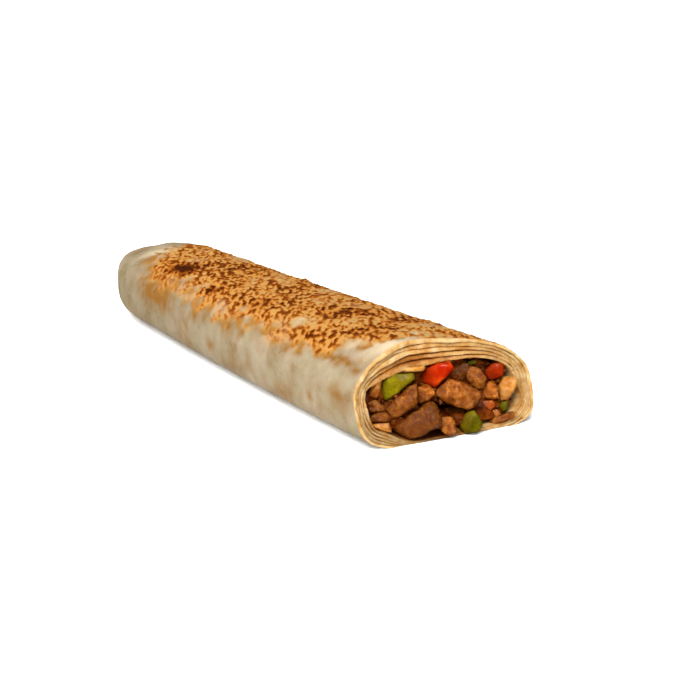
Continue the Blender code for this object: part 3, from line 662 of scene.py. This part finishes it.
def make_skin():
    rings = skin_stations()
    columns = skin_columns(SKIN_COLUMNS)
    bm, ring, column, pole = ball_of_rings(len(columns), len(rings))
    s, depth, hollow, closing = rings[ring].T
    closing = np.where(pole, 0.0001, closing)
    angle = columns[column]
    turn = np.degrees(angle)

    near_cut = np.exp(-np.maximum(s, 0.0) * ROLL_LENGTH / (7 * MM)) * (1 - hollow)
    s = s + front_shift(angle, 1.0, 0.9 * MM) / ROLL_LENGTH * near_cut
    rim = rim_thickness(angle, s)
    inset = np.where(hollow > 0, rim, depth * rim * 0.88 / TURNS)
    below_seam = smooth(turn, -96, -50) * (angle < SEAM_ANGLE)
    inset += (1 - depth) * SEAM_DEPTH * below_seam * smooth(s, 0.01, 0.04) * smooth(1 - s, 0.06, 0.15)
    x, z, nx, nz = outline(angle, s, inset, np.where(hollow > 0, closing, 1.0))
    start = np.stack([x, s * ROLL_LENGTH, z], axis=-1)

    outside = (depth == 0) & ~pole
    lift = np.zeros(len(s))
    wave = noise_at(start * (22, 120, 30) + np.outer(x, (0, 20, 0)), 1.0)
    wave += 0.5 * noise_at(start * (50, 260, 60) + (9, 0, 0), 1.0)
    lift += WRINKLE_HEIGHT * wave * smooth(z, 1 * MM, 6 * MM)
    for spot_angle, spot_s, size in blister_list():
        spot_x = outline(spot_angle, spot_s)[0]
        away = np.hypot(x - spot_x, (s - spot_s) * ROLL_LENGTH * 0.8) / size
        lift += BLISTER_HEIGHT * np.where((away < 1) & (np.sin(angle) > 0), 1 - away * away, 0) ** 2
    flat_points = place(x, z, s)
    toasted = toast_share(angle, s, flat_points)
    high, own = flakes_at(flat_points, FLAKE_SIZE)
    small = lumps_at(flat_points, 1.3, 2.0)
    patch = lumps_at(flat_points, 11, 6.0)
    crusty = toasted * high * (0.35 + 0.9 * own)
    slanted = flat_points @ np.array([[0.834, 0.552, 0.0], [-0.552, 0.834, 0.0], [0.0, 0.0, 1.0]])
    speck = lumps_at(slanted, (1.5, 3.2, 1.5), 11.0)
    speck += 0.5 * lumps_at(slanted, (0.9, 2.0, 0.9), 2.0)
    speck = smooth(speck, -0.34, 0.52)
    lift += FLAKE_HEIGHT * (crusty - 0.25 * toasted) + (SPECK_HEIGHT * speck + 0.1 * MM * small) * toasted
    lift += 0.16 * MM * lumps_at(flat_points, (8, 6, 7), 4.0) * (1 - toasted)
    lift += 0.07 * MM * lumps_at(flat_points, 2.2, 6.0) * (1 - toasted)
    lift *= smooth(1 - s, 0.0, 0.03) * smooth(s, -0.001, 0.012)
    lift = np.where(outside, lift, 0.0)

    middle = section(s)[2]
    shrink = np.where(hollow > 0, 1.0, closing)
    x = (x + nx * lift) * shrink
    z = middle + (z + nz * lift - middle) * shrink
    z = np.maximum(z, underside(s))
    points = place(x, z, s)
    crease = np.exp(-((z - middle) / (2.2 * MM)) ** 2)
    points[:, 1] -= FOLD_DEPTH * crease * smooth(s, 0.97, 1.0) * (depth == 0)

    pale = marks_on(points, PALE)
    burnt = marks_on(points, BURNT) - pale
    brown = 1.5 * marks_on(points, BROWN_MARKS, 0.7) * (1 + 0.9 * lumps_at(points, 3, 7.0))
    brown += 0.2 * smooth(lumps_at(points, (9, 6, 9), 1.0), 0.05, 0.5)
    border = toasted * (1 - toasted)
    brown += 3.8 * border * smooth(lumps_at(slanted, (3.5, 6, 3.5), 5.0), -0.2, 0.35)
    paler = 0.16 * (1 - smooth(turn, 60, 100))
    toast = toasted * np.clip(0.9 + 0.54 * patch + burnt - paler, 0.12, 1.3)
    toast = np.where(depth > 0, 0.0, np.clip(toast, 0.0, 1.0))
    heat = toast * (0.14 + 0.74 * speck) + 0.55 * burnt * toasted + 0.45 * border
    heat = np.clip(heat, 0.0, 1.0) * (depth == 0)
    # Painted shade: the skin's colour is made darker towards the far end.
    light = 1.1 - 0.24 * smooth(s, 0.0, 0.8)
    brown = np.where(depth > 0, 0.12, np.clip(brown, 0.0, 1.0))
    cream = pale + (0.3 * toasted + 0.6 * border) * smooth(lumps_at(points, 6, 9.0), -0.2, 0.35)
    from_cut = s * ROLL_LENGTH / MM
    cream += 0.9 * np.exp(-((turn - 119) / 15) ** 2) * (1 - smooth(from_cut, 4.0, 16.0))
    near_edge = 0.8 * (1 - smooth(from_cut, 0.0, 0.7))
    add_piece("toasted_skin", bm, points, toasted_skin_finish(), ["lavash"],
              {"toast": toast, "brown": brown, "crusting": heat, "cream": np.clip(cream, 0.0, 1.0),
               "cut": np.clip(depth * 8 + near_edge, 0.0, 1.0), "light": light})


# Layers inside the skin

def make_layers():
    """The rest of the rolled sheet: one band that winds inwards, seen by its front edge."""
    turns = TURNS - 1
    count = LAYER_STEPS * turns
    depths = np.array([0.35, 0.8, 1.5, 2.5, 4.0, 6.0, 8.5, 11.0, LAYER_DEPTH / MM - 0.3]) * MM
    outer = [(d, 0.0) for d in depths[::-1]]
    edge = [(0.14 * MM, 0.03), (0.04 * MM, 0.22), (0.0, 0.5), (0.04 * MM, 0.78), (0.14 * MM, 0.97)]
    loop = np.array(outer + edge + [(d, 1.0) for d in depths])
    bm, ring, column, pole = ball_of_rings(len(loop), count)
    step = ring / LAYER_STEPS
    back, side = loop[column].T
    back, side = np.where(pole, 6 * MM, back), np.where(pole, 0.5, side)
    turn = np.floor(np.minimum(step, turns - 0.0001))
    angle = SEAM_ANGLE + (step - turn) * math.tau
    crossing = smooth(step - turn, 0.89, 1.0)
    level = 1 + turn + crossing
    open_here = OPENING * facing(angle, 112, 0.1, 0.9)
    wide_open = smooth(level, 2.8, 3.2) * open_here * (1 - 0.85 * smooth(back, 0.8 * MM, 2.2 * MM))
    around = np.stack([np.cos(angle) * 30 * MM, np.sin(angle) * 16 * MM, level * 7 * MM], axis=-1)
    right = facing(angle, 5, 0.2, 0.9)
    drift = [np.cos(angle) * 34 * MM, np.sin(angle) * 18 * MM, np.floor(level + side) * 40 * MM]
    drift = np.stack(drift, axis=-1)
    sealed = smooth(lumps_at(drift, 11, 2.0), -0.12, 0.22) * 0.75
    back = np.where(back < 0.3 * MM, back * (1 - np.maximum(0.6 * right, sealed)), back)
    thick = 0.985 - (0.17 - 0.08 * right) * smooth(lumps_at(around, 5), 0.14, 0.5)
    thick += (0.99 - thick) * smooth(back, 0.3 * MM, 0.8 * MM)
    inward = around + np.outer(back, (0, 0, 1))
    ripple = 0.07 * lumps_at(inward, 3, 2.0)
    wall = smooth(level, 3.4, 4.2) * smooth(back, 0.5 * MM, 4 * MM)
    ripple += wall * lumps_at(inward, (9, 3, 4), 6.0)
    sag = 0.9 * smooth(level, 3.4, 4.2) * facing(angle, 124, 0.8, 0.99) * side
    share = (level + wide_open + ripple + thick * side + sag) / (TURNS + open_here)

    inner = smooth(level, 2.8, 3.2)
    recess = 0.55 * MM + inner * 1.3 * MM * facing(angle, 125, 0.3, 0.95)
    uneven = front_shift(angle, 0, 0.5 * MM) + 0.65 * MM * lumps_at(around, 5, 9.0)
    uneven += 0.28 * MM * lumps_at(around, 1.4, 4.0)
    uneven *= 1 - 0.5 * smooth(-np.sin(angle), 0.3, 0.8)
    moved = recess * (1 - smooth(-np.sin(angle), 0.1, 0.6)) + uneven
    s = (back + moved * (1 - back / LAYER_DEPTH)) / ROLL_LENGTH
    x, z = outline(angle, s, rim_thickness(angle, s) * share)[:2]
    points = place(x, np.maximum(z, FLAT_DEPTH), s)

    last = smooth(level, 3.6, 4.4)
    top_left = facing(angle, 135, 0.5, 0.95)
    # Sauce stains together with painted shade: dark lines at the sheets' edges where the gaps between them
    # are, darker further in from the front and at the lower left.
    line = smooth(np.abs(side - 0.5), 0.18, 0.5)
    sauce_and_shade = 0.06 * last + 0.25 * lumps_at(around, 6, 3.0)
    sauce_and_shade += line * (0.42 + 0.35 * lumps_at(around, 7, 5.0)) * (1 - np.maximum(0.5 * right, sealed))
    sauce_and_shade += inner * (0.1 + top_left * 0.14) + smooth(back, 0.3 * MM, 3 * MM) * (0.25 + 0.15 * last)
    sauce_and_shade += 0.18 * facing(angle, 75, 0.5, 0.95)
    low_left = facing(angle, 236, 0.5, 0.95)
    sauce_and_shade += 0.2 * low_left
    left = facing(angle, 185, 0.3, 0.9)
    # Painted shade: darker at the right, the lower left and the left, and on the innermost wall at the right.
    light = 1 - 0.2 * right * (1 - low_left) - 0.4 * low_left
    light = light - 0.12 * last * right - 0.14 * left * (1 - low_left)
    sauce_and_shade -= 0.14 * left * (1 - last)
    sauce_and_shade += 0.3 * np.exp(-((level + side - 3.6) / 0.5) ** 2) * facing(angle, 128, 0.8, 0.98)
    sauce_and_shade += wall * (0.5 - 1.5 * facing(angle, -32, 0.3, 0.9))
    add_piece("rolled_layers", bm, points, layer_finish(), ["lavash"],
              {"sauce_and_shade": np.clip(sauce_and_shade, 0.0, 1.0), "light": light})


# Filling

def room_share(points):
    """Below 1 inside the hollow (kept a gap off the bread), above 1 outside it."""
    front = CUT_Y + points[:, 0] * math.tan(CUT_TURN) + points[:, 2] * math.tan(CUT_LEAN)
    s = (points[:, 1] - front) / (CUT_Y + ROLL_LENGTH - front)
    wide, high, middle, top, under = section(s)
    across = points[:, 0] - SIDEWAYS_BOW * 4 * s * (1 - s)
    rise = points[:, 2] + FLAT_DEPTH - middle
    inset = rim_thickness(np.arctan2(rise / high, across / wide), s) + FILL_GAP
    power = np.where(rise >= 0, top, under)
    return (np.abs(across / (wide - inset)) ** power + np.abs(rise / (high - inset)) ** power) ** (1 / power)


def piece_middle(name):
    right, up, out = [m * MM for m in PIECES[name][1]]
    return np.array(Vector((0.0, CUT_Y, 0.0)) + RIGHT * right + UP * up + OUT * out)


def across_piece(degrees):
    """Direction across the pieces' front, turned from their right."""
    turn = math.radians(degrees)
    return np.array(SIDE * math.cos(turn) + LIFT * math.sin(turn))


def piece_faces(name):
    """Outward direction and distance of each face: the back, three front facets and the outline."""
    deep, faces = PIECES[name][2:4]
    ahead = np.array(FRONT)
    found = [(-ahead, deep * MM)]
    for turn in (60, 180, 300):
        slant = across_piece(faces[0][0] + turn) * math.sin(FACET_TILT)
        found.append((ahead * math.cos(FACET_TILT) + slant, deep * MM * math.cos(FACET_TILT)))
    for degrees, distance in faces:
        found.append((across_piece(degrees), distance * MM))
    return found


def free_reach(name, ways):
    """Distance from the piece's middle to its surface: flat faces, rounded edges and soft lumps."""
    deep, (sharp, lumpy) = PIECES[name][2], PIECES[name][4:]
    shift = np.array((len(name) * 3.7, deep, sharp))
    bend = np.stack([noise_at(ways * 1.7 + shift + (k, -k, 2 * k), 1.0) for k in BEND_SHIFTS], axis=-1)
    bent = ways + bend * FACE_BEND * lumpy
    bent /= np.linalg.norm(bent, axis=1)[:, None]
    softer = sharp * 1.3
    total = sum(np.maximum(bent @ way / distance, 0.0) ** softer for way, distance in piece_faces(name))
    return total ** (-1 / softer) * (1 + lumpy * noise_at(ways * 1.6 + shift, 1.0))


def contact_planes():
    """Flat contacts between pieces that would meet: for each piece, (direction, distance) pairs."""
    bm = bmesh.new()
    bmesh.ops.create_icosphere(bm, subdivisions=3, radius=1.0)
    ways = np.array([vert.co.normalized()[:] for vert in bm.verts])
    bm.free()
    clouds = {name: ways * free_reach(name, ways)[:, None] for name in PIECES}
    limits = {name: [] for name in PIECES}
    names = list(PIECES)
    for i, first in enumerate(names):
        for second in names[i + 1:]:
            step = piece_middle(second) - piece_middle(first)
            far = [np.linalg.norm(clouds[name], axis=1).max() for name in (first, second)]
            if np.linalg.norm(step) > sum(far):
                continue
            ahead = (clouds[first] @ ways.T).max(axis=0)
            behind = (-(clouds[second] @ ways.T)).max(axis=0)
            overlap = np.where(ways @ step > 0, ahead + behind - ways @ step, 1.0)
            best = int(np.argmin(overlap))
            if overlap[best] > -PIECE_GAP:
                share = (overlap[best] + PIECE_GAP) / (ahead[best] + behind[best])
                limits[first].append((ways[best], ahead[best] * (1 - share)))
                limits[second].append((-ways[best], behind[best] * (1 - share)))
    return limits


def room_reach(centre, ways, far):
    """How far a piece may reach before it comes too near the bread."""
    near, limit = np.zeros(len(far)), far.copy()
    inside = room_share(centre + ways * far[:, None]) < 1
    for step in range(18):
        half_way = (near + limit) / 2
        ok = room_share(centre + ways * half_way[:, None]) < 1
        near, limit = np.where(ok, half_way, near), np.where(ok, limit, half_way)
    return np.where(inside, far, near)


def piece_relief(finish, local):
    """Fine relief of a piece, mostly inwards, how deep it lies in creases and how high (0 to 1)."""
    if finish == "meat":
        fibre = lumps_at(local, (0.8, 1.7, 1.5))
        lump = lumps_at(local, 2.4, 5.0)
        grain = lumps_at(local, 0.7, 3.0)
        crack = 1 - smooth(np.abs(lumps_at(local, (7, 3.2, 3.2), 9.0)), 0.0, 0.075)
        crack *= smooth(lumps_at(local, 5, 2.0), -0.15, 0.25)
        high = np.clip(0.5 + 0.6 * fibre + 0.7 * lump + 0.4 * grain, 0.0, 1.0)
        # Painted shade: low places of the relief count as creases, which are painted darker.
        crack = np.maximum(crack * 0.6, smooth(-lump - 0.4 * fibre, 0.3, 0.8) * 0.3)
        return (0.12 * fibre + 0.3 * lump + 0.1 * grain - 0.3 * crack - 0.08) * MM, crack, high
    if finish in ("pale", "browned"):
        lump = lumps_at(local, (4.0, 1.5, 1.5), 5.0)
        return 0.5 * MM * lump + 0.2 * MM * lumps_at(local, 0.8) - 0.12 * MM, np.clip(-lump, 0, 1), lump
    lump = lumps_at(local, 4.0, 5.0)
    return 0.2 * MM * lump + 0.08 * MM * lumps_at(local, 1.1) - 0.05 * MM, np.zeros(len(local)), lump


def make_filling_piece(name, limits, finishes):
    finish, faces = PIECES[name][0], PIECES[name][3]
    centre = piece_middle(name)
    cuts = PIECE_CUTS[max(distance for turn, distance in faces) > LARGE_PIECE]
    bm = bmesh.new()
    bmesh.ops.create_cube(bm, size=2.0)
    bmesh.ops.subdivide_edges(bm, edges=bm.edges[:], cuts=cuts, use_grid_fill=True)
    first = across_piece(max(faces, key=lambda face: face[1])[0])
    axes = np.array([first, np.cross(np.array(FRONT), first), np.array(FRONT)])
    even = np.tan(np.array([v.co[:] for v in bm.verts]) * math.pi / 4) @ axes
    ways = even / np.linalg.norm(even, axis=1)[:, None]
    free = free_reach(name, ways)
    reach = free.copy()
    for way, distance in limits:
        facing = np.maximum(ways @ way, 0.02)
        reach = np.minimum(reach, np.where(ways @ way > 0, distance / facing, 1.0))
    reach = room_reach(centre, ways, reach)
    local = (ways * reach[:, None]) @ axes.T
    relief, crease, high = piece_relief(finish, local + len(name) * 3 * MM)
    # Painted shade together with sauce: darker where the piece meets its neighbours or the bread, and in its
    # creases.
    touching = smooth(free - reach, 0.0, 1.2 * MM)
    reach = reach + np.minimum(relief, 0.15 * MM) * (1 - 0.5 * touching)
    sauce_and_shade = 0.55 * touching + 0.8 * crease
    # Brightness and darker side, each partly painted shade.
    shade, degrees, darker_side = LOOKS.get(name, (1, 0, 0))
    sauce_and_shade += darker_side * smooth((ways * reach[:, None]) @ across_piece(degrees) / MM, -1.0, 2.0)
    points = centre + ways * reach[:, None]
    add_piece(name + "_piece", bm, points, finishes[finish], [name],
              {"sauce_and_shade": np.clip(sauce_and_shade, 0.0, 1.0), "high": high, "grain": local / MM,
               "shade": np.full(len(points), float(shade))})


def crevice_spots():
    """Places deep in the gaps between the pieces at the cut, with a size for each."""
    random = np.random.default_rng(5)
    right, up, out = random.uniform(*CRUMB_ROOM, (CRUMB_TRIES, 3)).T * MM
    spots = np.array([0.0, CUT_Y, 0.0]) + np.outer(right, RIGHT) + np.outer(up, UP) + np.outer(out, OUT)
    sizes = random.uniform(*CRUMB_SIZE, CRUMB_TRIES)
    good = room_share(spots) < 0.95
    for behind in (0.0, 2.0, 4.0, 6.0):
        gaps = []
        for name in PIECES:
            step = spots - np.array(FRONT) * behind * MM - piece_middle(name)
            far = np.linalg.norm(step, axis=1)
            gaps.append(far - free_reach(name, step / far[:, None]))
        nearest = np.min(gaps, axis=0)
        good &= nearest > (0.3 if behind else -0.2) * sizes
        if not behind:
            good &= nearest < 1.2 * sizes
    chosen = []
    for k in np.argsort(-out):
        if good[k] and all(np.linalg.norm(spots[k] - spots[j]) > 0.8 * (sizes[k] + sizes[j]) for j in chosen):
            chosen.append(k)
    return spots[chosen], sizes[chosen]


def make_crumbs(name, finish, spots, sizes):
    """Small angular bits of one kind, joined as one piece."""
    bm = bmesh.new()
    bmesh.ops.create_cube(bm, size=2.0)
    bmesh.ops.subdivide_edges(bm, edges=bm.edges[:], cuts=CRUMB_CUTS, use_grid_fill=True)
    cube = bm.verts[:] + bm.edges[:] + bm.faces[:]
    own = np.repeat(np.arange(len(spots)), len(bm.verts))
    for spot in spots[1:]:
        bmesh.ops.duplicate(bm, geom=cube)
    at = np.array([v.co[:] for v in bm.verts])
    random = np.random.default_rng(len(name))
    spot, size = spots[own], sizes[own]
    shape = at / np.linalg.norm(at, axis=1)[:, None] ** 0.9
    shape = shape * random.uniform(0.45, 1.25, (len(spots), 3))[own]
    turns = np.array([Euler(way).to_matrix() for way in random.uniform(0, 6.28, (len(spots), 3)).tolist()])
    shape = np.einsum("kij,kj->ki", turns[own], shape)
    shape *= 1 + 0.5 * noise_at(shape + spot * 900, 1.1)[:, None]
    points = spot + shape * size[:, None]
    high = np.clip(0.5 + lumps_at(points, 0.7), 0.0, 1.0)
    add_piece(name, bm, points, finish, None,
              {"sauce_and_shade": np.full(len(points), CRUMB_SAUCE), "high": high, "grain": points / MM,
               "shade": random.uniform(*CRUMB_SHADE, len(spots))[own]})


def make_mass():
    """The mass of filling behind the pieces, running through the roll."""
    front = CORE_FRONT / ROLL_LENGTH
    rings = [(front, share) for share in np.linspace(0.02, 0.92, 46)]
    rings += [(front + 0.0005, 0.94), (front + 0.0015, 0.96), (front + 0.003, 0.98), (front + 0.006, 1.0)]
    rings += [(s, 1.0) for s in np.linspace(front + 0.01, 0.79, 40)]
    end = CAVITY_END - 0.008
    rings += [(0.79 + (end - 0.79) * math.sin(t), 0.985 * math.cos(t)) for t in np.linspace(0.2, 1.45, 7)]
    bm, ring, column, pole = ball_of_rings(MASS_COLUMNS, len(rings))
    s, closing = np.array(rings)[ring].T
    closing = np.where(pole, 0.0001, closing)
    angle = column / MASS_COLUMNS * math.tau
    spot = np.stack([np.cos(angle) * closing * 3, s * 40, np.sin(angle) * closing * 2], axis=-1)
    lump = noise_at(spot, 1.0)
    closing = closing * (0.97 - 0.05 * np.abs(lump))
    x, z = outline(angle, s, rim_thickness(angle, s) + FILL_GAP, closing)[:2]
    points = place(x, z, s)
    points[:, 1] += CORE_LUMPS * lump * (1 - smooth(s, front, front + 0.05))
    rough = 1.5 * lumps_at(points, 3.6, 3.0) + 0.8 * lumps_at(points, 1.5, 7.0)
    rough -= 3.6 * smooth(-np.sin(angle), 0.5, 0.9) * smooth(closing, 0.4, 0.7)
    points[:, 1] += (rough + 0.25 * lumps_at(points, 0.7)) * MM * (1 - smooth(s, front, front + 0.02))
    (middle, height), (wide, high) = DARK_HOLE, DARK_HOLE_SIZE
    hole = np.exp(-((x / MM - middle) / wide) ** 2 - ((z / MM - height) / high) ** 2)
    hole *= 1 - smooth(s, front, front + 0.05)
    points[:, 1] += DARK_HOLE_DEPTH * hole
    # Painted shadow in the dark hole, and painted light on the right of the filling.
    shade = 1 - 0.8 * hole + 1.2 * smooth(x / MM, 20.0, 27.0)
    add_piece("saucy_filling", bm, points, mass_finish(), ["filling_core"],
              {"shade": shade})


# Studio

def make_studio():
    bm = bmesh.new()
    bmesh.ops.create_circle(bm, cap_ends=True, segments=96, radius=FLOOR_RADIUS)
    mesh = bpy.data.meshes.new("floor")
    bm.to_mesh(mesh)
    bm.free()
    mesh.materials.append(floor_finish())
    floor = put_in_scene("floor", mesh)
    world = bpy.data.worlds.new("studio")
    world.use_nodes = True
    world.node_tree.nodes["Background"].inputs["Color"].default_value = (1.0, 1.0, 1.0, 1.0)
    world.node_tree.nodes["Background"].inputs["Strength"].default_value = SKY_LIGHT
    bpy.context.scene.world = world
    for name, (strength, wide, aim) in LAMPS.items():
        lamp = bpy.data.lights.new(name, "SUN")
        lamp.energy = strength
        lamp.angle = math.radians(wide)
        made = put_in_scene(name, lamp)
        made.rotation_euler = Vector(aim).to_track_quat("-Z", "Y").to_euler()
        made.visible_diffuse = name != "glint_lamp"


def make_camera():
    """Where the photo was taken from: in front of the cut, to its left, a little above."""
    yaw, pitch = CAMERA_YAW, CAMERA_PITCH
    lens = bpy.data.cameras.new("camera")
    lens.sensor_width = CAMERA_SENSOR
    lens.lens = CAMERA_LENS
    made = put_in_scene("camera", lens)
    made.location = CAMERA_PLACE
    look = Vector((math.sin(yaw) * math.cos(pitch), math.cos(yaw) * math.cos(pitch), -math.sin(pitch)))
    made.rotation_euler = look.to_track_quat("-Z", "Y").to_euler()
    bpy.context.scene.camera = made


def build():
    finishes = {"meat": meat_finish(), "tomato": tomato_finish(), "pepper": pepper_finish()}
    for kind, name, *colours in SOAKED_FINISHES:
        finishes[kind] = soaked_finish(name, *colours)
    make_skin()
    make_layers()
    make_mass()
    limits = contact_planes()
    for name in PIECES:
        make_filling_piece(name, limits[name], finishes)
    spots, sizes = crevice_spots()
    kind = np.arange(len(spots)) % 8
    make_crumbs("meat_crumbs", finishes["meat"], spots[kind > 1], sizes[kind > 1])
    make_crumbs("onion_bits", finishes["pale"], spots[kind == 1], sizes[kind == 1])
    make_crumbs("tomato_bits", finishes["stewed"], spots[kind == 0], sizes[kind == 0])
    make_studio()
    make_camera()
    bpy.context.scene.view_settings.view_transform = "Standard"


build()
